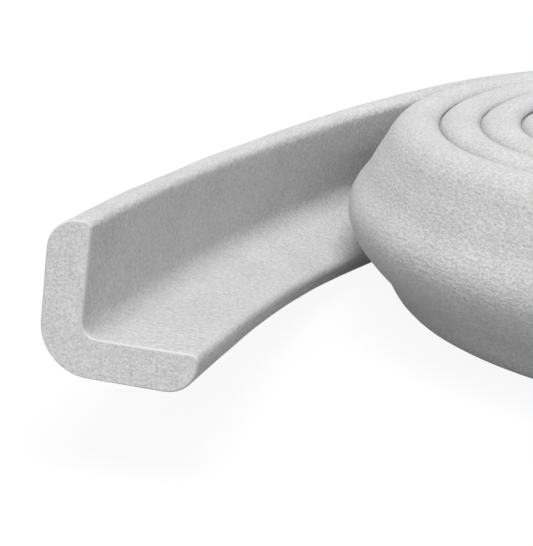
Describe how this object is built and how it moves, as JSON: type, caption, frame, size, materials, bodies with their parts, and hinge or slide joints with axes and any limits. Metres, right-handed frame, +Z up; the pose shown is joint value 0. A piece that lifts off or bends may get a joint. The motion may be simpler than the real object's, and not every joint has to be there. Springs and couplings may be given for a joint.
{
  "type": "foam edge guard",
  "caption": "Soft foam L-section edge guard strip, wound into a flat roll with its corner outwards and one free end standing as a nearly upright L.",
  "frame": {"origin": "middle of the footprint, on the level the roll lies on", "axes": "+Z up along the roll's axis; +X from the free end towards the roll; +Y away from the cut end"},
  "size_m": [0.2682, 0.2172, 0.0571],
  "materials": {
    "grey_foam": "matt light grey closed-cell foam with a fine grained skin and a porous cut end"
  },
  "bodies": {
    "root": {"foam_strip": "grey_foam"}
  },
  "joints": []
}
